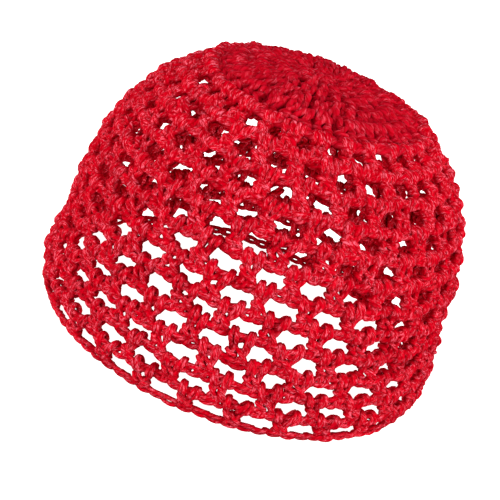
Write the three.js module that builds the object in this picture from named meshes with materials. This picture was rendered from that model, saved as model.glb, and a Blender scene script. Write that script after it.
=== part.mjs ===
// A skull cap crocheted in rounds: a dense crown, open net rounds down the side and a narrow edging at the rim.
// Millimetres, +Z up. The origin is the middle of the rim, on the surface that the cap stands on.
// Angles are in degrees from the front, which looks towards -Y, and turn towards +X.

import * as THREE from 'three';
import { mergeVertices } from 'three/addons/utils/BufferGeometryUtils.js';

// Driving dimensions

// The thickness of the crochet, which is two thicknesses of its yarn.
const WALL = 4.4;
// The gap between two neighbouring parts of the cap.
const SEAM_GAP = 0.3;
// The stitch clusters in one open round, which are as many as its gaps.
const CLUSTERS = 28;
// The middle of the first round of gaps, along the surface from the rim.
const FIRST_ROUND = 9.7;
// From one round to the next, and how much more each further step is, because the crochet is tighter at the rim.
const ROUND_STEP = 8.85;
const ROUND_STEP_GROWTH = 0.33;
// The open rounds of the whole net, how many of them each band of the net holds, and how many have gaps cut
// through them, from the lowest up. Above those the gaps are small.
const OPEN_ROUNDS = 12;
const ROUNDS_PER_BAND = 2;
const CUT_ROUNDS = 8;
// Each round stands half a cluster on from the one under it, and leans on by this much more.
const ROUND_LEAN = 0.42;
// Where the middle of the first round's gap lies from the front.
const FIRST_GAP_ANGLE = 2.5;
// In those rounds one gap in this many is cut.
const GAPS_SHARED = 2;
// A gap's width as a share of its cluster's, and its height as a share of its round's.
const GAP_WIDTH_SHARE = 0.66;
const GAP_HEIGHT_SHARE = 0.62;
// Its top edge's width, its bump's width and how low the bump stays, all as shares of half the gap.
const GAP_TOP_SHARE = 0.7;
const GAP_BUMP_SHARE = 0.35;
const GAP_BUMP_LEVEL = 0.5;
// The edging's height along the surface, and the width of its flat underside.
const EDGING_HEIGHT = 5.4;
const EDGING_FOOT = 3.0;

// The outline of the cap's outside, from the rim up to the pole, as heights and radii.
const OUTLINE = [
  { height: 0, radius: 89.4 },
  { height: 10, radius: 91.4 },
  { height: 22, radius: 90.3 },
  { height: 38, radius: 87.8 },
  { height: 60, radius: 85.9 },
  { height: 76, radius: 82.7 },
  { height: 90, radius: 76.9 },
  { height: 103, radius: 67.8 },
  { height: 113.5, radius: 55.7 },
  { height: 120.5, radius: 41.8 },
  { height: 124.3, radius: 25 },
  { height: 125.3, radius: 9 },
  { height: 125.4, radius: 0 },
];

// The mesh's fineness: steps round for each cluster, and the arc between two rings of the dense parts.
const STEPS_PER_CLUSTER = 2;
const RING_ARC = 9;
const OUTLINE_SAMPLES = 400;

// Materials
const yarn = (name, colour) => new THREE.MeshStandardMaterial({ name, color: colour, roughness: 0.55, metalness: 0 });
const crownYarn = yarn('crown_yarn', 0xc01226);
const netYarn = yarn('net_yarn', 0xcf1630);
const edgingYarn = yarn('edging_yarn', 0xb81024);

// Derived sizes
const STEPS_ROUND = CLUSTERS * STEPS_PER_CLUSTER;
const STEP_ANGLE = 360 / STEPS_ROUND;
const CLUSTER_ANGLE = 360 / CLUSTERS;

const outline = new THREE.CatmullRomCurve3(
  OUTLINE.map(({ height, radius }) => new THREE.Vector3(radius, 0, height)),
  false,
  'centripetal',
);
outline.arcLengthDivisions = OUTLINE_SAMPLES;
const ARC_LENGTH = outline.getLength();

/** The arc from the rim to the middle of a round, counted from 0 at the lowest. */
function roundArc(round) {
  return FIRST_ROUND + ROUND_STEP * round + (ROUND_STEP_GROWTH * round * (round - 1)) / 2;
}

/** The arc of the seam under a round, halfway from the one below it. */
function seamArc(round) {
  return (roundArc(round - 1) + roundArc(round)) / 2;
}

/** The point of the wall at an arc from the rim, as radius and height, a depth under its outside. */
function wallProfile(arc, depth) {
  const share = THREE.MathUtils.clamp(arc / ARC_LENGTH, 0, 1);
  const point = outline.getPointAt(share);
  const along = outline.getTangentAt(share);
  return new THREE.Vector2(point.x - along.z * depth, point.z + along.x * depth);
}

/** A point of the wall, at an angle from the front and an arc from the rim. */
function wallPoint(angle, arc, depth) {
  const { x: radius, y: height } = wallProfile(arc, depth);
  const turn = THREE.MathUtils.degToRad(angle);
  return new THREE.Vector3(radius * Math.sin(turn), -radius * Math.cos(turn), height);
}

/** The angle by which the crochet has leaned on at an arc. The rounds share it, so that their edges meet. */
function leanAt(arc) {
  return FIRST_GAP_ANGLE + (ROUND_LEAN * (arc - FIRST_ROUND)) / ROUND_STEP;
}

/** A closed mesh that is gathered triangle by triangle. */
class ClosedMesh {
  constructor() {
    this.positions = [];
  }

  triangle(a, b, c) {
    for (const corner of [a, b, c]) {
      this.positions.push(corner.x, corner.y, corner.z);
    }
  }

  quad(a, b, c, d) {
    this.triangle(a, b, c);
    this.triangle(a, c, d);
  }

  /** The wall between two lines of points, one on each skin, which turns its face to the line's left. */
  ribbon(outer, inner, closed) {
    const count = closed ? outer.length : outer.length - 1;
    for (let i = 0; i < count; i += 1) {
      const next = (i + 1) % outer.length;
      this.quad(outer[i], inner[i], inner[next], outer[next]);
    }
  }

  geometry() {
    const geometry = new THREE.BufferGeometry();
    geometry.setAttribute('position', new THREE.Float32BufferAttribute(this.positions, 3));
    return mergeVertices(geometry, 1e-3);
  }
}

/** The flat layout of the skin, with angle along x and arc along y, as both skins' triangles. */
function addSkins(mesh, contour, holes) {
  const layout = [contour, ...holes].flat();
  const outer = layout.map(({ x, y }) => wallPoint(x, y, 0));
  const inner = layout.map(({ x, y }) => wallPoint(x, y, WALL));
  for (const [a, b, c] of THREE.ShapeUtils.triangulateShape(contour, holes)) {
    mesh.triangle(outer[a], outer[b], outer[c]);
    mesh.triangle(inner[a], inner[c], inner[b]);
  }
  for (const hole of holes) {
    const outerEdge = hole.map(({ x, y }) => wallPoint(x, y, 0));
    const innerEdge = hole.map(({ x, y }) => wallPoint(x, y, WALL));
    mesh.ribbon(outerEdge, innerEdge, true);
  }
}

/** The two ends of a band of wall, at its lowest and highest arc. */
function addBandEdges(mesh, low, high) {
  const ring = (arc, depth) =>
    Array.from({ length: STEPS_ROUND }, (_, i) => wallPoint(leanAt(arc) + i * STEP_ANGLE, arc, depth));
  mesh.ribbon(ring(low, 0), ring(low, WALL), true);
  mesh.ribbon(ring(high, WALL), ring(high, 0), true);
}

/** A gap, drawn clockwise on the layout: narrow at the top, with a bump where the cluster below reaches up. */
function gapOutline(angle, arc, height) {
  const halfWidth = (CLUSTER_ANGLE * GAP_WIDTH_SHARE) / 2;
  const halfHeight = (height * GAP_HEIGHT_SHARE) / 2;
  const corner = (across, up) => new THREE.Vector2(angle + across * halfWidth, arc + up * halfHeight);
  return [
    corner(-1, -1),
    corner(-GAP_TOP_SHARE, 1),
    corner(GAP_TOP_SHARE, 1),
    corner(1, -1),
    corner(GAP_BUMP_SHARE, -GAP_BUMP_LEVEL),
    corner(-GAP_BUMP_SHARE, -GAP_BUMP_LEVEL),
  ];
}

/** One round of the net: cells side by side, one in every few with a gap in its middle. */
function addNetRound(mesh, round, low, high) {
  const arc = roundArc(round);
  const stagger = (round % 2) * (CLUSTER_ANGLE / 2);
  const steps = Array.from({ length: STEPS_PER_CLUSTER + 1 }, (_, step) => step - STEPS_PER_CLUSTER / 2);
  for (let cell = 0; cell < CLUSTERS; cell += 1) {
    const middle = stagger + cell * CLUSTER_ANGLE;
    const edge = (at) => steps.map((step) => new THREE.Vector2(leanAt(at) + middle + step * STEP_ANGLE, at));
    const isCut = (cell + Math.floor(round / 2)) % GAPS_SHARED === 0;
    const gaps = isCut ? [gapOutline(leanAt(arc) + middle, arc, high - low)] : [];
    addSkins(mesh, [...edge(low), ...edge(high).reverse()], gaps);
  }
}

/** A band of the net with gaps cut through it, from its first round up. */
function cutBand(firstRound, low, high) {
  const mesh = new ClosedMesh();
  for (let i = 0; i < ROUNDS_PER_BAND; i += 1) {
    const round = firstRound + i;
    const bottom = i === 0 ? low : seamArc(round);
    const top = i === ROUNDS_PER_BAND - 1 ? high : seamArc(round + 1);
    addNetRound(mesh, round, bottom, top);
  }
  addBandEdges(mesh, low, high);
  return mesh.geometry();
}

/** A plain band of wall between two arcs. */
function plainBand(low, high) {
  const mesh = new ClosedMesh();
  const rings = Math.max(1, Math.round((high - low) / RING_ARC));
  const arcs = Array.from({ length: rings + 1 }, (_, i) => THREE.MathUtils.lerp(low, high, i / rings));
  for (let ring = 0; ring < rings; ring += 1) {
    for (let step = 0; step < STEPS_ROUND; step += 1) {
      const corner = (arc, at) => new THREE.Vector2(leanAt(arc) + at * STEP_ANGLE, arc);
      const [below, above] = [arcs[ring], arcs[ring + 1]];
      addSkins(mesh, [corner(below, step), corner(below, step + 1), corner(above, step + 1), corner(above, step)], []);
    }
  }
  addBandEdges(mesh, low, high);
  return mesh.geometry();
}

/** The crown: a lathe from its lower edge over the pole and back under it. */
function crownDome(low) {
  const rings = Math.round((ARC_LENGTH - low) / RING_ARC);
  const arcs = Array.from({ length: rings }, (_, i) => THREE.MathUtils.lerp(low, ARC_LENGTH, i / rings));
  const pole = OUTLINE.at(-1).height;
  const outside = arcs.map((arc) => wallProfile(arc, 0));
  const inside = arcs.map((arc) => wallProfile(arc, WALL)).reverse();
  const profile = [new THREE.Vector2(0, pole - WALL), ...inside, ...outside, new THREE.Vector2(0, pole)];
  return lathe(profile);
}

/** The edging: a rounded ring of crochet with a flat foot. */
function edgingRing(high) {
  const middle = (wallProfile(0, 0).x + wallProfile(0, WALL).x) / 2;
  const knuckle = EDGING_HEIGHT / 4;
  const profile = [
    new THREE.Vector2(middle + EDGING_FOOT / 2, 0),
    wallProfile(knuckle, 0),
    wallProfile(high / 2 + knuckle / 2, 0),
    wallProfile(high, 0),
    wallProfile(high, WALL),
    wallProfile(high / 2 + knuckle / 2, WALL),
    wallProfile(knuckle, WALL),
    new THREE.Vector2(middle - EDGING_FOOT / 2, 0),
  ];
  return lathe([...profile, profile[0]]);
}

/** A solid of revolution about +Z, from its profile of radii and heights. */
function lathe(profile) {
  const geometry = new THREE.LatheGeometry(profile, STEPS_ROUND);
  geometry.rotateX(Math.PI / 2);
  geometry.deleteAttribute('normal');
  geometry.deleteAttribute('uv');
  return mergeVertices(geometry, 1e-3);
}

/** A mesh with its name and its material. */
function part(name, geometry, material) {
  geometry.computeVertexNormals();
  const mesh = new THREE.Mesh(geometry, material);
  mesh.name = name;
  return mesh;
}

/** The net, as bands that follow each other up the side. */
function netBands() {
  const bands = [];
  for (let first = 0; first < OPEN_ROUNDS; first += ROUNDS_PER_BAND) {
    const low = first === 0 ? EDGING_HEIGHT + SEAM_GAP : seamArc(first) + SEAM_GAP / 2;
    const high = seamArc(first + ROUNDS_PER_BAND) - SEAM_GAP / 2;
    const geometry = first < CUT_ROUNDS ? cutBand(first, low, high) : plainBand(low, high);
    bands.push(part(`net_band_${bands.length + 1}`, geometry, netYarn));
  }
  return bands;
}

const skullCap = new THREE.Group();
skullCap.name = 'skull_cap';
skullCap.add(
  part('rim_edging', edgingRing(EDGING_HEIGHT), edgingYarn),
  ...netBands(),
  part('crown', crownDome(seamArc(OPEN_ROUNDS) + SEAM_GAP / 2), crownYarn),
);

export default skullCap;
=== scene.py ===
"""A skull cap crocheted in rounds from one red yarn.

The cap has a dense crown, twelve open rounds of net down the side, and a narrow edging at the rim. Every
stitch is laid as yarn: its centre line is drawn in the flat of the crochet, bent onto the cap, and swept.

Lengths are millimetres until they are laid on the cap, where they become metres. An arc is measured up the
cap from the rim. Angles are degrees from the front, which looks towards -Y, and turn towards +X.
"""

from __future__ import annotations

import logging
import math
from dataclasses import dataclass, field
from enum import Enum

import bmesh
import bpy
import numpy as np
from mathutils import Matrix, Vector

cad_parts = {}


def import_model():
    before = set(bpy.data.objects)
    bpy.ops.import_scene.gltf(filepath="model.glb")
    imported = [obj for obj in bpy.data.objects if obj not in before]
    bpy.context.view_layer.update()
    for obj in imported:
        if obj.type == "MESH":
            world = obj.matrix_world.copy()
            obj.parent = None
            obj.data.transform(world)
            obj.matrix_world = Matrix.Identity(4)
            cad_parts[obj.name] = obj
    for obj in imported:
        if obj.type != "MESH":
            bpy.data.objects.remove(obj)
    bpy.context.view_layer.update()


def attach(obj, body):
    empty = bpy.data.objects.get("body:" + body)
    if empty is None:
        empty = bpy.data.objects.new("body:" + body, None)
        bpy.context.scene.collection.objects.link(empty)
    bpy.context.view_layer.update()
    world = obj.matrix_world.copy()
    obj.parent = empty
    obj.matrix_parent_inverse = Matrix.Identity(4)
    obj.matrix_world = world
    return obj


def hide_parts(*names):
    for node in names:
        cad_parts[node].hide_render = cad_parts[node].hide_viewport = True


MM = 0.001
SEED = 7
log = logging.getLogger("skull_cap")


def linear(hex_colour: str) -> tuple[float, float, float, float]:
    """Turns an sRGB hex colour to linear.

    Args:
        hex_colour: Six hex digits after a hash sign.

    Returns:
        Linear red, green, blue and an alpha of 1.
    """
    parts = [int(hex_colour[i : i + 2], 16) / 255 for i in (1, 3, 5)]
    red, green, blue = [c / 12.92 if c <= 0.04045 else ((c + 0.055) / 1.055) ** 2.4 for c in parts]
    return red, green, blue, 1.0


def add_node(
    tree: bpy.types.NodeTree,
    kind: str,
    settings: dict[str, object] | None = None,
    links: dict[str | int, bpy.types.NodeSocket] | None = None,
    **attributes: object,
) -> bpy.types.Node:
    """Adds a node with its settings and links.

    Args:
        tree: The node tree to add to.
        kind: The node's type name.
        settings: Input socket values, by socket name or number.
        links: Output sockets to link from, by input socket name or number.
        attributes: The node's own attributes.

    Returns:
        The new node.
    """
    node = tree.nodes.new(kind)
    for name, value in attributes.items():
        setattr(node, name, value)
    for name, value in (settings or {}).items():
        node.inputs[name].default_value = value
    for name, source in (links or {}).items():
        tree.links.new(source, node.inputs[name])
    return node


class Shade(Enum):
    """How the one yarn looks in each part of the cap, by the hex colour that its ply tops show."""

    # The crown's copy of the yarn is painted darker than the net's: painted shade, for less light on the
    # crown.
    CROWN = "#CA0C25"
    NET = "#D6001C"
    EDGING = "#D2001B"


@dataclass(frozen=True)
class AcrylicYarn:
    """Acrylic yarn, spun from long fibres and plied from three strands, then crocheted.

    The eye sees a saturated red. Its colour holds painted light: painted shade of dark red between the plies
    and in the crochet's hollows, and a painted highlight of fine pink lines on the ply tops, where the fibres
    lie straight, coming and going in patches. Fibres stand out from it every way, so it is given no gloss and
    no glossy rim, and all of its highlight is painted.
    """

    shade: Shade
    # Painted shade: the dark red painted between the plies, where shade falls.
    painted_groove_shade: str = "#A80008"
    # Painted highlight: the pink mixed into the colour where the fibres are highest.
    painted_highlight: str = "#FF7086"
    plies: int = 3
    # The plies turn once round the yarn in 11 mm.
    lay: float = 11.0
    ply_roundness: float = 0.6
    ply_height: float = 0.4
    # Real fibres are 0.03 mm thick. They are drawn in tufts of 0.4 mm, so that they still show.
    fibre: float = 0.4
    stretch: float = 0.35
    fibre_detail: float = 3.0
    fibre_fineness: float = 0.65
    fibre_height: float = 1.2
    strand_shift: float = 50.0
    bump: float = 0.65
    bump_height: float = 0.35
    # How strong the painted highlight is, and the fibre heights over which it fades in.
    painted_streaks: float = 1.0
    streak_heights: tuple[float, float] = (0.5, 0.68)
    # The painted highlight comes and goes over about 2.6 mm, in patches, as if loop after loop turned its
    # fibres to the light.
    patch: float = 2.6
    patch_noise: tuple[float, float] = (0.36, 0.64)
    patch_shine: tuple[float, float] = (0.1, 2.1)
    strand_brightness: tuple[float, float] = (0.88, 1.1)
    # The painted shade in the crochet's hollows: the depths where it starts and ends,
    # and the brightness left in it.
    painted_shade_depths: tuple[float, float] = (0.1, 1.9)
    painted_hollow_brightness: float = 0.6
    roughness: float = 0.85
    ior: float = 1.5
    gloss: float = 0.0

    def material(self) -> bpy.types.Material:
        """Builds the yarn's material.

        Returns:
            The material, which reads the yarn's own coordinates.
        """
        made = bpy.data.materials.new(f"acrylic_yarn_{self.shade.name.lower()}")
        made.use_nodes = True
        tree = made.node_tree
        tree.nodes.clear()
        cross = add_node(tree, "ShaderNodeAttribute", attribute_name="yarn")
        axes = add_node(tree, "ShaderNodeSeparateXYZ", links={0: cross.outputs["Vector"]})
        strand = add_node(tree, "ShaderNodeAttribute", attribute_name="strand")
        around = add_node(
            tree, "ShaderNodeMath", links={0: axes.outputs["Y"], 1: axes.outputs["X"]}, operation="ARCTAN2"
        )
        turned = add_node(
            tree,
            "ShaderNodeMath",
            {1: 2 * math.pi / self.lay},
            {0: axes.outputs["Z"], 2: around.outputs[0]},
            operation="MULTIPLY_ADD",
        )
        half_turns = add_node(
            tree, "ShaderNodeMath", {1: self.plies / 2}, {0: turned.outputs[0]}, operation="MULTIPLY"
        )
        wave = add_node(tree, "ShaderNodeMath", links={0: half_turns.outputs[0]}, operation="SINE")
        ply = add_node(tree, "ShaderNodeMath", links={0: wave.outputs[0]}, operation="ABSOLUTE")
        ply_top = add_node(
            tree, "ShaderNodeMath", {1: self.ply_roundness}, {0: ply.outputs[0]}, operation="POWER"
        )
        fibres = self._fibres(tree, turned.outputs[0], axes.outputs["Z"], strand.outputs["Fac"])
        soft_ply = add_node(
            tree, "ShaderNodeMath", {1: self.ply_height}, {0: ply_top.outputs[0]}, operation="MULTIPLY"
        )
        height = add_node(
            tree,
            "ShaderNodeMath",
            {1: self.fibre_height},
            {0: fibres, 2: soft_ply.outputs[0]},
            operation="MULTIPLY_ADD",
        )
        bump = add_node(
            tree,
            "ShaderNodeBump",
            {"Strength": self.bump, "Distance": self.bump_height * MM},
            {"Height": height.outputs[0]},
        )
        colour = self._colour(tree, ply_top.outputs[0], fibres, strand.outputs["Fac"])
        shader = add_node(
            tree,
            "ShaderNodeBsdfPrincipled",
            {"Roughness": self.roughness, "IOR": self.ior, "Specular IOR Level": self.gloss},
            {"Base Color": colour, "Normal": bump.outputs[0]},
        )
        add_node(tree, "ShaderNodeOutputMaterial", links={"Surface": shader.outputs[0]})
        return made

    def _fibres(
        self,
        tree: bpy.types.NodeTree,
        turned: bpy.types.NodeSocket,
        along: bpy.types.NodeSocket,
        strand: bpy.types.NodeSocket,
    ) -> bpy.types.NodeSocket:
        """Draws the long fibres as a fine noise, stretched along the yarn's twist.

        Args:
            tree: The material's tree.
            turned: The angle round the yarn, turned with its lay.
            along: The distance along the yarn.
            strand: The strand's own number from 0 to 1.

        Returns:
            The fibres' height from 0 to 1.
        """
        cosine, sine = [
            add_node(tree, "ShaderNodeMath", links={0: turned}, operation=kind) for kind in ("COSINE", "SINE")
        ]
        stretched = add_node(tree, "ShaderNodeMath", {1: self.stretch}, {0: along}, operation="MULTIPLY")
        moved = add_node(
            tree,
            "ShaderNodeMath",
            {1: self.strand_shift},
            {0: strand, 2: stretched.outputs[0]},
            operation="MULTIPLY_ADD",
        )
        place = add_node(
            tree,
            "ShaderNodeCombineXYZ",
            links={"X": cosine.outputs[0], "Y": sine.outputs[0], "Z": moved.outputs[0]},
        )
        noise = add_node(
            tree,
            "ShaderNodeTexNoise",
            {"Scale": 1 / self.fibre, "Detail": self.fibre_detail, "Roughness": self.fibre_fineness},
            {"Vector": place.outputs[0]},
        )
        return noise.outputs["Fac"]

    def _colour(
        self,
        tree: bpy.types.NodeTree,
        ply_top: bpy.types.NodeSocket,
        fibres: bpy.types.NodeSocket,
        strand: bpy.types.NodeSocket,
    ) -> bpy.types.NodeSocket:
        """Colours the yarn, with painted shade between the plies and in the hollows and a painted highlight.

        Args:
            tree: The material's tree.
            ply_top: 1 on top of a ply and 0 between two.
            fibres: The fibres' height from 0 to 1.
            strand: The strand's own number from 0 to 1.

        Returns:
            The colour.
        """
        # The plies' colour: painted shade between them, and the part's own colour on their tops.
        plied = add_node(
            tree,
            "ShaderNodeMix",
            {6: linear(self.painted_groove_shade), 7: linear(self.shade.value)},
            {0: ply_top},
            data_type="RGBA",
        )
        # The yarn's depth in the crochet masks the painted shade in its hollows and keeps the painted
        # highlight off them.
        depth = add_node(tree, "ShaderNodeAttribute", attribute_name="depth")
        away = add_node(tree, "ShaderNodeMath", links={0: depth.outputs["Fac"]}, operation="ABSOLUTE")
        painted_light_mask = add_node(
            tree,
            "ShaderNodeMapRange",
            {"From Min": self.painted_shade_depths[0], "From Max": self.painted_shade_depths[1]},
            {"Value": away.outputs[0]},
        )
        # The painted highlight: pink mixed in on the highest fibres.
        with_painted_highlight = add_node(
            tree,
            "ShaderNodeMix",
            {7: linear(self.painted_highlight)},
            {0: self._painted_highlight(tree, ply_top, fibres, painted_light_mask.outputs[0]), 6: plied.outputs[2]},
            data_type="RGBA",
        )
        brightness = add_node(
            tree,
            "ShaderNodeMapRange",
            {"To Min": self.strand_brightness[0], "To Max": self.strand_brightness[1]},
            {"Value": strand},
        )
        # Painted shade: the deeper the yarn lies in the crochet, the darker it is painted.
        shade = add_node(
            tree,
            "ShaderNodeMath",
            {1: 1 - self.painted_hollow_brightness, 2: self.painted_hollow_brightness},
            {0: painted_light_mask.outputs[0]},
            operation="MULTIPLY_ADD",
        )
        value = add_node(
            tree,
            "ShaderNodeMath",
            links={0: brightness.outputs[0], 1: shade.outputs[0]},
            operation="MULTIPLY",
        )
        varied = add_node(
            tree,
            "ShaderNodeHueSaturation",
            links={"Value": value.outputs[0], "Color": with_painted_highlight.outputs[2]},
        )
        return varied.outputs[0]

    def _painted_highlight(
        self,
        tree: bpy.types.NodeTree,
        ply_top: bpy.types.NodeSocket,
        fibres: bpy.types.NodeSocket,
        painted_light_mask: bpy.types.NodeSocket,
    ) -> bpy.types.NodeSocket:
        """Works out the painted highlight: on the highest fibres, outside the shaded hollows, in patches.

        Args:
            tree: The material's tree.
            ply_top: 1 on top of a ply and 0 between two.
            fibres: The fibres' height from 0 to 1.
            painted_light_mask: 0 in the middle of the crochet, painted in shade, and 1 outside its hollows.

        Returns:
            The painted highlight's strength, from 0 up.
        """
        streak = add_node(
            tree,
            "ShaderNodeMapRange",
            {"From Min": self.streak_heights[0], "From Max": self.streak_heights[1], "To Max": self.painted_streaks},
            {"Value": fibres},
        )
        on_ply = add_node(
            tree, "ShaderNodeMath", links={0: streak.outputs[0], 1: ply_top}, operation="MULTIPLY"
        )
        on_top = add_node(
            tree, "ShaderNodeMath", links={0: on_ply.outputs[0], 1: painted_light_mask}, operation="MULTIPLY"
        )
        coords = add_node(tree, "ShaderNodeTexCoord")
        noise = add_node(
            tree,
            "ShaderNodeTexNoise",
            {"Scale": 1 / (self.patch * MM), "Detail": 1.0},
            {"Vector": coords.outputs["Object"]},
        )
        patches = add_node(
            tree,
            "ShaderNodeMapRange",
            {
                "From Min": self.patch_noise[0],
                "From Max": self.patch_noise[1],
                "To Min": self.patch_shine[0],
                "To Max": self.patch_shine[1],
            },
            {"Value": noise.outputs["Fac"]},
        )
        painted_highlight = add_node(
            tree, "ShaderNodeMath", links={0: on_top.outputs[0], 1: patches.outputs[0]}, operation="MULTIPLY"
        )
        return painted_highlight.outputs[0]


@dataclass
class CapSurface:
    """The curved surface that the crochet follows, by heights and radii from the rim to the pole."""

    outline: tuple[tuple[float, float], ...] = (
        (0.0, 89.4),
        (10.0, 91.4),
        (22.0, 90.3),
        (38.0, 87.8),
        (60.0, 85.9),
        (76.0, 82.7),
        (90.0, 76.9),
        (103.0, 67.8),
        (113.5, 55.7),
        (120.5, 41.8),
        (124.3, 25.0),
        (125.3, 9.0),
        (125.4, 0.0),
    )
    depth: float = 2.7
    crown_depth: float = 4.2
    # Between these arcs up from the rim, the stretched net turns into the loose, thick crochet of the crown.
    loosening: tuple[float, float] = (52.5, 105.0)
    samples: int = 800
    heights: np.ndarray = field(init=False)
    radii: np.ndarray = field(init=False)
    arcs: np.ndarray = field(init=False)
    along: np.ndarray = field(init=False)

    def __post_init__(self) -> None:
        """Draws the outline as a smooth curve and measures it."""
        points = np.array(self.outline)
        knots = np.concatenate([[0.0], np.cumsum(np.sqrt(np.hypot(*np.diff(points, axis=0).T)))])
        spread = np.linspace(0, knots[-1], self.samples)
        curve = catmull_rom(points, knots, spread)
        steps = np.hypot(*np.diff(curve, axis=0).T)
        self.heights, self.radii = curve[:, 0], curve[:, 1]
        self.arcs = np.concatenate([[0.0], np.cumsum(steps)])
        slope = np.gradient(curve, self.arcs, axis=0)
        self.along = slope / np.linalg.norm(slope, axis=1, keepdims=True)

    @property
    def length(self) -> float:
        """The arc from the rim to the pole."""
        return float(self.arcs[-1])

    def sunk(self, arc: np.ndarray) -> np.ndarray:
        """How far the middle of the crochet lies inside the outline: deeper where the yarn is thick."""
        return np.interp(arc, self.loosening, [self.depth, self.crown_depth])

    def radius(self, arc: float) -> float:
        """The crochet's radius at an arc from the rim."""
        return float(np.interp(arc, self.arcs, self.radii) - self.sunk(arc))

    def place(self, angle: np.ndarray, arc: np.ndarray, rise: np.ndarray) -> np.ndarray:
        """Bends points of the flat crochet onto the cap.

        Args:
            angle: Degrees from the front.
            arc: Millimetres up from the rim.
            rise: Millimetres out from the middle of the crochet.

        Returns:
            The points in metres, with a last axis of 3.
        """
        radius = np.interp(arc, self.arcs, self.radii)
        height = np.interp(arc, self.arcs, self.heights)
        up = np.interp(arc, self.arcs, self.along[:, 0])
        out = np.interp(arc, self.arcs, self.along[:, 1])
        lift = rise - self.sunk(arc)
        radius = radius + up * lift
        height = height - out * lift
        turn = np.radians(angle)
        return np.stack([radius * np.sin(turn), -radius * np.cos(turn), height], axis=-1) * MM


def catmull_rom(points: np.ndarray, knots: np.ndarray, at: np.ndarray) -> np.ndarray:
    """Draws a smooth curve through points.

    Args:
        points: The points, one a row.
        knots: Each point's place along the curve.
        at: The places to work out.

    Returns:
        The curve's points, one for each place.
    """
    slopes = np.gradient(points, knots, axis=0)
    index = np.clip(np.searchsorted(knots, at, side="right") - 1, 0, len(knots) - 2)
    width = (knots[index + 1] - knots[index])[:, None]
    t = (at - knots[index])[:, None] / width
    start, end = points[index], points[index + 1]
    rise_start, rise_end = slopes[index] * width, slopes[index + 1] * width
    return (
        (2 * t**3 - 3 * t**2 + 1) * start
        + (t**3 - 2 * t**2 + t) * rise_start
        + (3 * t**2 - 2 * t**3) * end
        + (t**3 - t**2) * rise_end
    )


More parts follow.
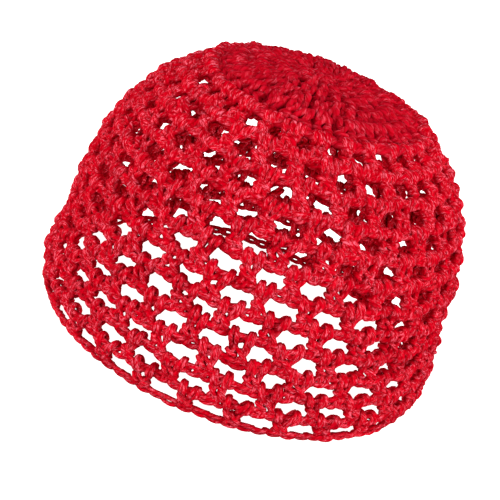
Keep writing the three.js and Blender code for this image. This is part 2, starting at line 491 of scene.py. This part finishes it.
@dataclass
class YarnBundle:
    """Gathers lengths of yarn and sweeps them into one mesh.

    A tube has a ring of points at each step. A slub is the slight swelling of spun yarn, as a share of its
    radius, and comes again after each slub's length. A tube's two ends are drawn in to a share of its radius.
    """

    surface: CapSurface
    rng: np.random.Generator
    sides: int = 6
    step: float = 1.2
    fewest_samples: int = 6
    slub: float = 0.07
    slub_length: float = 5.0
    tip_share: float = 0.55
    latest_start: float = 20.0
    vertices: list[np.ndarray] = field(default_factory=list)
    quads: list[np.ndarray] = field(default_factory=list)
    caps: list[np.ndarray] = field(default_factory=list)
    crosses: list[np.ndarray] = field(default_factory=list)
    strands: list[np.ndarray] = field(default_factory=list)
    depths: list[np.ndarray] = field(default_factory=list)
    count: int = 0

    def lay(self, controls: np.ndarray, radius: float) -> None:
        """Lays the same length of yarn in many places.

        Args:
            controls: Control points as angle, arc and rise, with axes place, point and coordinate.
            radius: The yarn's radius in millimetres.
        """
        points = self.surface.place(controls[..., 0], controls[..., 1], controls[..., 2])
        lengths = np.linalg.norm(np.diff(points, axis=1), axis=2).sum(axis=1) / MM
        samples = max(self.fewest_samples, round(float(lengths.mean()) / self.step))
        outward = self.surface.place(controls[..., 0], controls[..., 1], controls[..., 2] + 1) - points
        self._sweep(
            smooth_paths(points, samples),
            smooth_paths(outward / MM, samples),
            smooth_paths(controls[..., 2:], samples),
            radius * MM,
        )

    def _sweep(self, path: np.ndarray, outward: np.ndarray, rise: np.ndarray, radius: float) -> None:
        """Sweeps round tubes along paths, a little thicker and thinner as spun yarn is.

        Args:
            path: The paths, with axes place, sample and coordinate.
            outward: The way out of the cap along them.
            rise: How far out of the middle of the crochet they lie, in millimetres.
            radius: The tubes' radius in metres.
        """
        places, samples, _ = path.shape
        tangent = np.gradient(path, axis=1)
        tangent /= np.linalg.norm(tangent, axis=2, keepdims=True)
        side = carried_sides(tangent)
        other = np.cross(tangent, side)
        around = np.linspace(0, 2 * np.pi, self.sides, endpoint=False)
        steps = np.linalg.norm(np.diff(path, axis=1), axis=2) / MM
        along = np.concatenate([np.zeros((places, 1)), np.cumsum(steps, axis=1)], axis=1)
        along += self.rng.uniform(0, self.latest_start, (places, 1))
        reach = radius * (1 + self.slub * np.sin(along * 2 * np.pi / self.slub_length))
        reach[:, [0, -1]] *= self.tip_share
        ring = side[:, :, None] * np.cos(around)[:, None] + other[:, :, None] * np.sin(around)[:, None]
        points = path[:, :, None] + ring * reach[:, :, None, None]
        cross = np.stack(np.broadcast_arrays(np.cos(around), np.sin(around), along[:, :, None]), axis=-1)
        index = np.arange(places * samples * self.sides).reshape(places, samples, self.sides) + self.count
        near, far = index[:, :-1], index[:, 1:]
        quads = np.stack([near, np.roll(near, -1, axis=2), np.roll(far, -1, axis=2), far], axis=-1)
        points[..., 2] = np.maximum(points[..., 2], 0)
        # How far each point lies out of the crochet's middle, which the painted shade and painted highlight
        # read.
        lift = np.sum(ring * outward[:, :, None], axis=-1) * reach[:, :, None] / MM
        self.depths.append((rise + lift).ravel())
        self.vertices.append(points.reshape(-1, 3))
        self.crosses.append(cross.reshape(-1, 3))
        self.strands.append(np.repeat(self.rng.uniform(0, 1, places), samples * self.sides))
        self.quads.append(quads.reshape(-1, 4))
        self.caps += [index[:, 0, ::-1], index[:, -1]]
        self.count += index.size

    def mesh_object(self, name: str, material: bpy.types.Material) -> bpy.types.Object:
        """Makes one object of all the yarn.

        Args:
            name: The object's name.
            material: The yarn's material.

        Returns:
            The object, in the scene.
        """
        quads = np.concatenate(self.quads)
        caps = np.concatenate(self.caps)
        mesh = bpy.data.meshes.new(name)
        mesh.vertices.add(self.count)
        mesh.vertices.foreach_set("co", np.concatenate(self.vertices).ravel())
        corners = np.concatenate([quads.ravel(), caps.ravel()])
        sizes = np.concatenate([np.full(len(quads), 4), np.full(len(caps), self.sides)])
        mesh.loops.add(len(corners))
        mesh.loops.foreach_set("vertex_index", corners)
        mesh.polygons.add(len(sizes))
        mesh.polygons.foreach_set("loop_start", np.concatenate([[0], np.cumsum(sizes)[:-1]]))
        mesh.polygons.foreach_set("use_smooth", np.ones(len(sizes), dtype=bool))
        mesh.update(calc_edges=True)
        yarn = mesh.attributes.new("yarn", "FLOAT_VECTOR", "POINT")
        yarn.data.foreach_set("vector", np.concatenate(self.crosses).ravel())
        for attribute, values in (("strand", self.strands), ("depth", self.depths)):
            made = mesh.attributes.new(attribute, "FLOAT", "POINT")
            made.data.foreach_set("value", np.concatenate(values))
        mesh.validate()
        mesh.materials.append(material)
        made = bpy.data.objects.new(name, mesh)
        bpy.context.scene.collection.objects.link(made)
        log.info("%s: %d triangles", name, 2 * len(quads) + (self.sides - 2) * len(caps))
        return made


def smooth_paths(points: np.ndarray, samples: int) -> np.ndarray:
    """Draws smooth curves through many sets of points at once.

    Args:
        points: The points, with axes place, point and coordinate.
        samples: How many points each curve gets.

    Returns:
        The curves, with axes place, sample and coordinate.
    """
    count = points.shape[1]
    at = np.linspace(0, count - 1, samples)
    index = np.minimum(np.floor(at).astype(int), count - 2)
    t = (at - index)[None, :, None]
    a, b, c, d = [points[:, np.clip(index + shift, 0, count - 1)] for shift in (-1, 0, 1, 2)]
    return 0.5 * (
        2 * b + (c - a) * t + (2 * a - 5 * b + 4 * c - d) * t**2 + (3 * b - a - 3 * c + d) * t**3
    )


def carried_sides(tangent: np.ndarray, steep: float = 0.8) -> np.ndarray:
    """Carries a side direction along paths without twisting it.

    Args:
        tangent: Unit tangents, with axes place, sample and coordinate.
        steep: The rise above which a path takes its first side from the x axis instead of the z axis.

    Returns:
        Unit side directions of the same shape.
    """
    side = np.empty_like(tangent)
    helper = np.where(np.abs(tangent[:, 0, 2:3]) < steep, [[0.0, 0.0, 1.0]], [[1.0, 0.0, 0.0]])
    current = np.cross(tangent[:, 0], helper)
    for sample in range(tangent.shape[1]):
        here = tangent[:, sample]
        current = current - here * np.sum(current * here, axis=1, keepdims=True)
        current /= np.linalg.norm(current, axis=1, keepdims=True)
        side[:, sample] = current
    return side


@dataclass
class StitchPlan:
    """Where the rounds lie on the cap.

    Each round is a little taller than the one below, and the crochet leans on round by round. A chain hangs
    below the middle between two rows of gaps, by its drop at the rim and less with each millimetre up.
    """

    clusters: int = 28
    first_round: float = 9.7
    round_step: float = 8.85
    round_step_growth: float = 0.33
    first_gap_angle: float = 2.5
    round_lean: float = 0.42
    open_rounds: int = 12
    rounds_per_band: int = 2
    drop: float = 3.2
    drop_fade: float = 0.027
    crown_round: float = 9.5

    def gap_arc(self, round_number: float) -> float:
        """The arc of the middle of a round's gaps."""
        grown = self.round_step_growth * round_number * (round_number - 1) / 2
        return self.first_round + self.round_step * round_number + grown

    def chain_arc(self, round_number: int) -> float:
        """The arc of the chain at the foot of a round."""
        middle = (self.gap_arc(round_number - 1) + self.gap_arc(round_number)) / 2
        return middle - max(0.0, self.drop - self.drop_fade * middle)

    def lean(self, arc: np.ndarray) -> np.ndarray:
        """The angle by which the crochet has leaned on at an arc."""
        return self.first_gap_angle + self.round_lean * (arc - self.first_round) / self.round_step


@dataclass
class UnevenTension:
    """The uneven pull of a hand, which shifts the whole crochet smoothly by small amounts.

    Each wave makes whole turns round the cap, and has its own length up it.
    """

    rng: np.random.Generator
    waves: int = 26
    slowest_turn: int = 5
    fastest_turn: int = 34
    shortest: float = 13.0
    longest: float = 60.0
    sideways: float = 0.6
    upward: float = 0.5
    outward: float = 0.5
    turns: np.ndarray = field(init=False)
    climbs: np.ndarray = field(init=False)
    phases: np.ndarray = field(init=False)

    def __post_init__(self) -> None:
        """Draws the waves: whole turns round the cap, climbs up it, and where each starts."""
        shape = (3, self.waves)
        self.turns = self.rng.integers(self.slowest_turn, self.fastest_turn, shape)
        lengths = self.rng.uniform(self.shortest, self.longest, shape)
        self.climbs = 2 * np.pi / lengths * self.rng.choice([-1, 1], shape)
        self.phases = self.rng.uniform(0, 2 * np.pi, shape)

    def shift(self, angle: np.ndarray, arc: np.ndarray) -> np.ndarray:
        """Works out how far the crochet is shifted.

        Args:
            angle: Degrees from the front.
            arc: Millimetres up from the rim.

        Returns:
            Millimetres to the side, up and out, with a first axis of 3.
        """
        sizes = np.array([self.sideways, self.upward, self.outward]) * math.sqrt(2 / self.waves)
        shifts = np.zeros((3, *np.broadcast(angle, arc).shape))
        for kind in range(3):
            for turns, climb, phase in zip(self.turns[kind], self.climbs[kind], self.phases[kind]):
                shifts[kind] += sizes[kind] * np.sin(turns * np.radians(angle) + climb * arc + phase)
        return shifts


# A stitch's loop where it hangs over the chain above: how far its two strands are from its middle, how high
# they are over the chain, and how far out, from its end behind the stitch to the front.
HEAD_LOOP = (
    (0.50, -4.4, -0.9),
    (0.62, -2.0, -2.1),
    (0.60, 0.9, -2.3),
    (0.46, 2.8, -0.7),
    (0.62, 2.5, 1.2),
    (0.88, 0.8, 2.4),
    (0.90, -0.9, 2.2),
)

# One loop of a chain: how far along it is, as a share of the loop's pitch, how far its strand is to the side,
# as a share of the widest, and how far out. The second strand mirrors the first.
CHAIN_LOOP = (
    (-0.30, 0.10, -0.9),
    (0.00, 0.45, -0.1),
    (0.35, 0.95, 0.55),
    (0.70, 1.00, 0.65),
    (1.02, 0.62, 0.30),
    (1.18, 0.00, -0.45),
)

# The strand that crosses a cluster: how far to the side it is, as a share of its reach, how high, as a share
# of the cluster's height, and how far out.
SLIP = (
    (-0.50, 0.78, -0.4),
    (-0.22, 0.64, 0.9),
    (0.14, 0.50, 1.5),
    (0.46, 0.35, 1.6),
    (0.76, 0.16, 0.9),
    (1.00, 0.00, -0.3),
)


@dataclass(frozen=True)
class HandWork:
    """How much one stitch differs from the next, as standard deviations.

    Turns are radians, shares are shares of a width, the chain's angle is degrees, and tilts are slopes. The
    rest are millimetres.
    """

    stitch_lift: float = 0.4
    stitch_side: float = 0.45
    stitch_share: float = 0.1
    stitch_turn: float = 0.4
    stitch_sway: float = 0.35
    wrap_tilt: float = 0.3
    wrap_lift: float = 0.45
    chain_angle: float = 0.25
    chain_share: float = 0.1
    chain_turn: float = 0.25
    chain_side: float = 0.2
    chain_lift: float = 0.25
    slip_side: float = 0.3
    slip_lift: float = 0.35
    slip_rise: float = 0.2


@dataclass
class Crochet:
    """The stitches that every part of the cap is made of.

    The yarn is thin where it is stretched at the rim, and thick where it lies loose. The radius of each
    strand is a share of the yarn's thickness, near a half, since strands are squeezed where they are tight.
    """

    surface: CapSurface
    plan: StitchPlan
    rng: np.random.Generator
    tension: UnevenTension
    hand: HandWork = HandWork()
    yarn: float = 2.15
    crown_yarn: float = 2.65
    top_yarn: float = 3.15
    top_arc: float = 132.0
    smallest_radius: float = 4.0
    ridge: float = 0.7
    ridge_fade: float = 20.0
    stitch_strand: float = 0.47
    wrap_strand: float = 0.44
    slip_strand: float = 0.42
    chain_strand: float = 0.53
    # Under its head loop, a stitch's two strands twist round each other down to the foot, as a post.
    ply_turn: float = 0.66
    post_top: float = 2.6
    post_foot: float = 0.9
    post_points: int = 5
    post_radius: float = 0.85
    post_rise: float = 0.5
    highest_sway: float = 1.2
    # One turn of yarn slants round the post for each step of its height, beyond a stretch that stays clear.
    wrap_clear: float = 4.5
    wrap_step: float = 5.5
    wrap_drop: float = 0.9
    wrap_rise: float = 0.35
    wrap_turns: tuple[float, float] = (-0.3, 0.8)
    wrap_points: int = 10
    wrap_size: tuple[float, float] = (1.8, 1.7)
    wrap_tuck: float = 0.45
    wrap_tuck_power: int = 6
    wrap_tilt: float = 0.7
    # A chain is narrower towards the crown, turned a little about its length, and lies deeper in the crown.
    chain_spread: float = 1.4
    crown_narrowing: float = 0.8
    chain_turn: float = 0.15
    chain_rise: float = 0.3
    crown_chain_rise: float = -0.9

    def on_cap(self, across: np.ndarray, arc: np.ndarray, rise: np.ndarray, angle: np.ndarray) -> np.ndarray:
        """Turns flat millimetres beside a stitch's own angle to angle, arc and rise.

        Args:
            across: Millimetres to the side.
            arc: Millimetres up from the rim.
            rise: Millimetres out from the middle of the crochet.
            angle: The stitch's own angle.

        Returns:
            Control points for a yarn bundle.
        """
        radius = np.interp(arc, self.surface.arcs, self.surface.radii) - self.surface.sunk(arc)
        radius = np.maximum(radius, self.smallest_radius)
        turned = np.degrees(across / radius)
        straight = angle + turned + self.plan.lean(arc)
        beside, up, out = self.tension.shift(straight, arc) * np.clip(arc / self.plan.first_round, 0, 1)
        turned = np.degrees(beside / radius)
        return np.stack([straight + turned, arc + up, rise + out + self.relief(arc)], axis=-1)

    def relief(self, arc: np.ndarray) -> np.ndarray:
        """Works out the ridges towards the crown, where each round stands out at its chain.

        Args:
            arc: Millimetres up from the rim.

        Returns:
            How far out the crochet lies for them, in millimetres.
        """
        turns = 2 * np.pi * (arc - self.plan.chain_arc(self.plan.open_rounds)) / self.plan.crown_round
        strength = np.clip((arc - self.surface.loosening[1]) / self.ridge_fade, 0, 1)
        return self.ridge * strength * np.cos(turns)

    def thickness(self, arc: float) -> float:
        """The yarn's thickness at an arc."""
        arcs = [0.0, self.surface.loosening[1], self.top_arc]
        return float(np.interp(arc, arcs, [self.yarn, self.crown_yarn, self.top_yarn]))

    def uneven(self, count: int, size: float) -> np.ndarray:
        """A small uneven amount for each of a number of stitches, as a column."""
        return self.rng.normal(0, size, (count, 1))

    def double_crochets(
        self,
        bundle: YarnBundle,
        angles: np.ndarray,
        foot: float,
        head: float,
        foot_side: float,
        head_side: float,
        ply_turn: float | None = None,
        wraps: int | None = None,
        wrap_rise: float | None = None,
    ) -> None:
        """Lays a stitch at each angle, which hangs from the chain above it.

        Args:
            bundle: The bundle to lay it in.
            angles: The clusters' angles.
            foot: The arc of the chain at its foot.
            head: The arc of the chain that it hangs from.
            foot_side: How far to the side of the cluster's middle its foot is.
            head_side: How far to the side its head is.
            ply_turn: How fast its two strands twist round each other, in radians a millimetre.
            wraps: How many turns of yarn go round it, or None for as many as fit.
            wrap_rise: How far out the middle of a turn lies.
        """
        count, hand = len(angles), self.hand
        tall = head - foot
        ply_turn = self.ply_turn if ply_turn is None else ply_turn
        lift, shift = self.uneven(count, hand.stitch_lift), self.uneven(count, hand.stitch_side)
        wide, twist = 1 + self.uneven(count, hand.stitch_share), self.uneven(count, hand.stitch_turn)
        sway = self.uneven(count, hand.stitch_sway)
        loop = np.array(HEAD_LOOP)
        down = np.linspace(tall - self.post_top, -self.post_foot, self.post_points)
        for side, start in ((-1, math.pi), (1, 0.0)):
            turn = start + (down[0] - down) * ply_turn + twist
            across = np.concatenate([side * loop[:, 0] * wide, self.post_radius * np.cos(turn)], axis=1)
            up = np.concatenate([tall + loop[:, 1] + lift, down + 0 * lift], axis=1)
            post_rise = self.post_rise + self.post_radius * np.sin(turn)
            rise = np.concatenate([loop[:, 2] + 0 * lift, post_rise], axis=1)
            slant = np.clip(up / tall, 0, self.highest_sway)
            across = across + shift + foot_side + (head_side + sway - foot_side) * slant
            controls = self.on_cap(across, foot + up, rise, angles[:, None])
            bundle.lay(controls, self.thickness(foot) * self.stitch_strand)
        if wraps is None:
            wraps = max(1, round((tall - self.wrap_clear) / self.wrap_step))
        for wrap in range(wraps):
            height = tall * (wrap + 1) / (wraps + 1) - self.wrap_drop
            side = foot_side + (head_side - foot_side) * height / tall + shift
            self._wrap(bundle, angles, foot, height, side, self.wrap_rise if wrap_rise is None else wrap_rise)

    def _wrap(
        self,
        bundle: YarnBundle,
        angles: np.ndarray,
        foot: float,
        height: float,
        side: np.ndarray,
        middle: float,
    ) -> None:
        """Lays a turn of yarn that slants round a stitch.

        Args:
            bundle: The bundle to lay it in.
            angles: The clusters' angles.
            foot: The arc of the chain at the stitch's foot.
            height: How high up the stitch the turn is.
            side: How far to the side each turn is.
            middle: How far out its middle lies.
        """
        count = len(angles)
        first, last = self.wrap_turns
        wide, deep = self.wrap_size
        turn = np.linspace(first * 2 * np.pi, last * 2 * np.pi, self.wrap_points)[None]
        from_middle = np.abs(np.linspace(-1, 1, self.wrap_points))
        tucked = 1 - self.wrap_tuck * from_middle**self.wrap_tuck_power
        tilt = self.wrap_tilt + self.uneven(count, self.hand.wrap_tilt)
        across = wide * np.cos(turn) * tucked + 0 * tilt
        rise = middle + deep * np.sin(turn) * tucked + 0 * tilt
        up = height - across * tilt + self.uneven(count, self.hand.wrap_lift)
        controls = self.on_cap(across + side, foot + up, rise, angles[:, None])
        bundle.lay(controls, self.thickness(foot) * self.wrap_strand)

    def chain(
        self,
        bundle: YarnBundle,
        loops: int,
        arc: float,
        first: float,
        spread: float | None = None,
        lift: float | None = None,
        strand: float | None = None,
    ) -> None:
        """Lays a round of chain stitches, each loop pulled through the one before.

        Args:
            bundle: The bundle to lay it in.
            loops: How many loops the round has.
            arc: The round's arc.
            first: The first loop's angle.
            spread: How far the two strands of a loop are to each side, or None for the usual width.
            lift: How far out the chain lies, or None for the net's own.
            strand: A strand's radius as a share of the yarn's thickness, or None for the usual share.
        """
        hand = self.hand
        angles = first + np.arange(loops) * 360 / loops + self.uneven(loops, hand.chain_angle)[:, 0]
        pitch = 2 * math.pi * self.surface.radius(arc) / loops
        loop = np.array(CHAIN_LOOP)
        path = np.concatenate([loop, loop[-2::-1] * (1, -1, 1)])
        narrow = float(np.interp(arc, self.surface.loosening, [1.0, self.crown_narrowing]))
        wide = (spread or self.chain_spread * narrow) * (1 + self.uneven(loops, hand.chain_share))
        turned = self.chain_turn + self.uneven(loops, hand.chain_turn)
        across = path[:, 0] * pitch + self.uneven(loops, hand.chain_side)
        beside, rise = path[:, 1] * wide, path[:, 2] + 0 * wide
        up = beside * np.cos(turned) - rise * np.sin(turned) + self.uneven(loops, hand.chain_lift)
        out = beside * np.sin(turned) + rise * np.cos(turned) + (self.chain_rise if lift is None else lift)
        controls = self.on_cap(across, arc + up, out, angles[:, None])
        bundle.lay(controls, self.thickness(arc) * (strand or self.chain_strand))

    def slips(self, bundle: YarnBundle, angles: np.ndarray, foot: float, tall: float, reach: float) -> None:
        """Lays the strand that crosses a cluster from its left stitch down to the chain at its right.

        Args:
            bundle: The bundle to lay it in.
            angles: The clusters' angles.
            foot: The arc of the chain at the clusters' feet.
            tall: The clusters' height.
            reach: How far to the side the strand lands on the chain.
        """
        count = len(angles)
        path = np.array(SLIP)
        across = path[:, 0] * reach + self.uneven(count, self.hand.slip_side)
        up = path[:, 1] * tall + self.uneven(count, self.hand.slip_lift)
        rise = path[:, 2] + self.uneven(count, self.hand.slip_rise)
        controls = self.on_cap(across, foot + up, rise, angles[:, None])
        bundle.lay(controls, self.thickness(foot) * self.slip_strand)


@dataclass
class NetBand:
    """Two open rounds of the net: clusters of two stitches, joined by a chain.

    A cluster's stitches stand close together at the foot and spread at the head, as far as there is room.
    Their two strands twist round each other more slowly towards the crown.
    """

    number: int
    crochet: Crochet
    loops_per_gap: int = 4
    wide_gap: float = 15.0
    foot_apart: float = 1.3
    foot_shift: float = -0.3
    head_apart: float = 2.8
    head_room: float = 0.15
    slip_reach: float = 5.2
    slip_room: float = 0.3
    ply_arcs: tuple[float, float] = (50.0, 100.0)
    ply_turns: tuple[float, float] = (0.66, 0.42)

    def build(self, material: bpy.types.Material) -> bpy.types.Object:
        """Lays the band's yarn.

        Args:
            material: The yarn's material.

        Returns:
            The band's object.
        """
        plan = self.crochet.plan
        bundle = YarnBundle(self.crochet.surface, self.crochet.rng)
        first = (self.number - 1) * plan.rounds_per_band
        for round_number in range(first, first + plan.rounds_per_band):
            self._round(bundle, round_number)
        return bundle.mesh_object(f"crochet_net_{self.number}", material)

    def _round(self, bundle: YarnBundle, round_number: int) -> None:
        """Lays one round: its clusters and the chain at their feet.

        Args:
            bundle: The bundle to lay it in.
            round_number: The round, counted from 0 at the lowest.
        """
        plan = self.crochet.plan
        pitch = 360 / plan.clusters
        stagger = (round_number % 2) * pitch / 2
        angles = stagger + (np.arange(plan.clusters) + 0.5) * pitch
        foot, head = plan.chain_arc(round_number), plan.chain_arc(round_number + 1)
        room = 2 * math.pi * self.crochet.surface.radius(head) / plan.clusters
        apart = min(self.head_apart, room * self.head_room)
        ply_turn = float(np.interp(foot, self.ply_arcs, self.ply_turns))
        for side in (-1, 1):
            foot_side = side * self.foot_apart + self.foot_shift
            self.crochet.double_crochets(bundle, angles, foot, head, foot_side, side * apart, ply_turn)
        reach = min(self.slip_reach, room * self.slip_room)
        self.crochet.slips(bundle, angles, foot, head - foot, reach)
        if round_number > 0:
            loops_per_gap = self.loops_per_gap if room > self.wide_gap else self.loops_per_gap - 1
            self.crochet.chain(bundle, plan.clusters * loops_per_gap, foot, stagger)


@dataclass
class Crown:
    """The dense rounds of the crown, which close at a small ring round the pole."""

    crochet: Crochet
    stitch_width: float = 4.4
    fewest_stitches: int = 8
    shortest_round: float = 2.5
    ring_radius: float = 1.2
    wraps: int = 2
    wrap_rise: float = -1.6
    ply_turn: float = 0.36
    pair_foot: float = 2.3
    pair_head: float = 2.2

    def build(self, material: bpy.types.Material) -> bpy.types.Object:
        """Lays the crown's yarn.

        Args:
            material: The yarn's material.

        Returns:
            The crown's object.
        """
        plan, surface = self.crochet.plan, self.crochet.surface
        bundle = YarnBundle(surface, self.crochet.rng)
        foot = self._closing_round(bundle)
        turn = 0.0
        while foot < surface.length - self.shortest_round:
            head = min(foot + plan.crown_round, surface.length - self.ring_radius)
            around = 2 * math.pi * surface.radius((foot + head) / 2)
            stitches = max(self.fewest_stitches, round(around / self.stitch_width))
            angles = turn + np.arange(stitches) * 360 / stitches
            self.crochet.double_crochets(
                bundle, angles, foot, head, 0.0, 0.0, self.ply_turn, self.wraps, self.wrap_rise
            )
            self.crochet.chain(bundle, stitches // 2, foot, turn, lift=self.crochet.crown_chain_rise)
            foot, turn = head, turn + 180 / stitches
        return bundle.mesh_object("crochet_crown", material)

    def _closing_round(self, bundle: YarnBundle) -> float:
        """Lays the round where the net closes, with a pin hole between every two clusters.

        Args:
            bundle: The bundle to lay it in.

        Returns:
            The arc of the chain that the round hangs from.
        """
        plan = self.crochet.plan
        foot, head = plan.chain_arc(plan.open_rounds), plan.chain_arc(plan.open_rounds + 1)
        pitch = 360 / plan.clusters
        angles = (np.arange(plan.clusters) + 0.5) * pitch
        for side in (-1, 1):
            foot_side, head_side = side * self.pair_foot, side * self.pair_head
            self.crochet.double_crochets(bundle, angles, foot, head, foot_side, head_side)
        self.crochet.chain(bundle, 2 * plan.clusters, foot, 0.0)
        return head


@dataclass
class RimEdging:
    """The chain that runs along the rim, under the feet of the lowest clusters."""

    crochet: Crochet
    loops: int = 88
    chain_height: float = 2.1
    chain_spread: float = 1.2
    strand: float = 0.46

    def build(self, material: bpy.types.Material) -> bpy.types.Object:
        """Lays the edging's yarn.

        Args:
            material: The yarn's material.

        Returns:
            The edging's object.
        """
        bundle = YarnBundle(self.crochet.surface, self.crochet.rng)
        self.crochet.chain(
            bundle, self.loops, self.chain_height, 0.0, self.chain_spread, strand=self.strand
        )
        return bundle.mesh_object("crochet_edging", material)


@dataclass(frozen=True)
class MattPaper:
    """Matt white paper, coated without gloss: an even pale field that shows no sheen and no grain."""

    part: str
    colour: str = "#F4F3F2"
    roughness: float = 0.9
    light: str = "#FFFFFF"
    glow: float = 1.0

    def material(self) -> bpy.types.Material:
        """Builds the paper's material.

        Returns:
            The material, which glows so that the camera sees it evenly white.
        """
        made = bpy.data.materials.new(f"matt_paper_{self.part}")
        made.use_nodes = True
        shader = made.node_tree.nodes["Principled BSDF"]
        shader.inputs["Base Color"].default_value = linear(self.colour)
        shader.inputs["Roughness"].default_value = self.roughness
        shader.inputs["Emission Color"].default_value = linear(self.light)
        shader.inputs["Emission Strength"].default_value = self.glow
        return made


@dataclass(frozen=True)
class Lamp:
    """A square soft lamp that looks at the cap: its place and size in metres, and its power in watts."""

    name: str
    place: tuple[float, float, float]
    size: float
    power: float


@dataclass
class Studio:
    """A plain pale floor, soft lights and the camera.

    Distances and heights are millimetres. The camera's angles, its focal length in pixels and the pixel that
    it looks at were fitted to the photo.
    """

    distance: float = 596.0
    elevation: float = 22.9
    roll: float = 20.97
    focal_pixels: float = 1345.3
    frame_pixels: float = 500.0
    centre_pixel: tuple[float, float] = (272.1, 218.5)
    target_height: float = 55.0
    sensor: float = 36.0
    clip: tuple[float, float] = (0.01, 20.0)
    dome_radius: float = 4.0
    dome_segments: int = 48
    sky: str = "#FFFFFF"
    sky_glow: float = 0.48
    lamp_aim: float = 60.0
    lamps: tuple[Lamp, ...] = (
        Lamp("key", (-0.2, -1.0, 0.7), 0.3, 6.7),
        Lamp("fill", (1.0, -0.45, 0.4), 0.5, 6.9),
        Lamp("side", (-0.95, -0.5, 0.06), 0.5, 4.0),
        Lamp("back", (0.45, 1.1, 0.15), 0.6, 2.6),
        Lamp("floor_bounce", (0.0, 0.0, 0.001), 0.15, 0.055),
    )

    def build(self) -> None:
        """Makes the floor, the lights, the world and the camera, and shows colours as they are."""
        bpy.context.scene.view_settings.view_transform = "Standard"
        self._floor()
        self._lights()
        self._camera()

    def _floor(self) -> None:
        """Lays a wide matt floor just under the rim, and sets a plain white dome behind everything."""
        half = self.dome_radius
        floor = bpy.data.meshes.new("floor")
        floor.from_pydata(
            [(-half, -half, 0), (half, -half, 0), (half, half, 0), (-half, half, 0)], [], [(0, 1, 2, 3)]
        )
        dome = bpy.data.meshes.new("dome")
        sphere = bmesh.new()
        bmesh.ops.create_uvsphere(
            sphere, u_segments=self.dome_segments, v_segments=self.dome_segments // 2, radius=self.dome_radius
        )
        sphere.to_mesh(dome)
        sphere.free()
        for mesh in (floor, dome):
            self._stage(mesh)

    def _stage(self, mesh: bpy.types.Mesh) -> None:
        """Adds a pale surface that the camera sees, but that neither lights nor shades the cap.

        Args:
            mesh: The surface's mesh, which gives the object its name.
        """
        mesh.materials.append(MattPaper(mesh.name).material())
        made = bpy.data.objects.new(mesh.name, mesh)
        made.visible_diffuse = False
        made.visible_glossy = False
        made.visible_shadow = False
        bpy.context.scene.collection.objects.link(made)

    def _lights(self) -> None:
        """Sets the soft lamps round the cap, and an even white world."""
        for lamp in self.lamps:
            light = bpy.data.lights.new(lamp.name, "AREA")
            light.size = lamp.size
            light.energy = lamp.power
            made = bpy.data.objects.new(lamp.name, light)
            made.location = lamp.place
            aim = Vector((0, 0, self.lamp_aim * MM)) - Vector(lamp.place)
            made.rotation_mode = "QUATERNION"
            made.rotation_quaternion = aim.to_track_quat("-Z", "Y")
            bpy.context.scene.collection.objects.link(made)
        world = bpy.data.worlds.new("studio")
        world.use_nodes = True
        background = world.node_tree.nodes["Background"]
        background.inputs["Color"].default_value = linear(self.sky)
        background.inputs["Strength"].default_value = self.sky_glow
        bpy.context.scene.world = world

    def _camera(self) -> None:
        """Sets the camera at the photo's angle, distance and framing."""
        camera = bpy.data.cameras.new("camera")
        camera.sensor_width = self.sensor
        camera.lens = self.focal_pixels / self.frame_pixels * camera.sensor_width
        camera.shift_x = 0.5 - self.centre_pixel[0] / self.frame_pixels
        camera.shift_y = self.centre_pixel[1] / self.frame_pixels - 0.5
        camera.clip_start, camera.clip_end = self.clip
        view = bpy.data.objects.new("camera", camera)
        tilt = math.radians(self.elevation)
        back = Vector((0, -math.cos(tilt), math.sin(tilt)))
        place = Vector((0, 0, self.target_height * MM)) + back * self.distance * MM
        turn = back.to_track_quat("Z", "Y").to_matrix().to_4x4()
        roll = Matrix.Rotation(math.radians(self.roll), 4, "Z")
        view.matrix_world = Matrix.Translation(place) @ turn @ roll
        bpy.context.scene.collection.objects.link(view)
        bpy.context.scene.camera = view


def main() -> None:
    """Builds the cap over its frame, part by part, and the studio round it."""
    logging.basicConfig(level=logging.INFO, format="%(message)s")
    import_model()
    plan = StitchPlan()
    rng = np.random.default_rng(SEED)
    crochet = Crochet(CapSurface(), plan, rng, UnevenTension(rng))

    # The crown's loose yarn shows broader tufts, a softer painted highlight, and deeper painted shade.
    crown_yarn = AcrylicYarn(
        Shade.CROWN, fibre=0.6, stretch=0.22, painted_streaks=0.33, painted_shade_depths=(0.4, 2.5), painted_hollow_brightness=0.58
    ).material()
    crown = Crown(crochet).build(crown_yarn)
    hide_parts("crown")
    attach(crown, "root")

    net_yarn = AcrylicYarn(Shade.NET).material()
    for number in range(1, plan.open_rounds // plan.rounds_per_band + 1):
        band = NetBand(number, crochet).build(net_yarn)
        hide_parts(f"net_band_{number}")
        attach(band, "root")

    edging = RimEdging(crochet).build(AcrylicYarn(Shade.EDGING).material())
    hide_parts("rim_edging")
    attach(edging, "root")

    Studio().build()


if __name__ == "__main__":
    main()
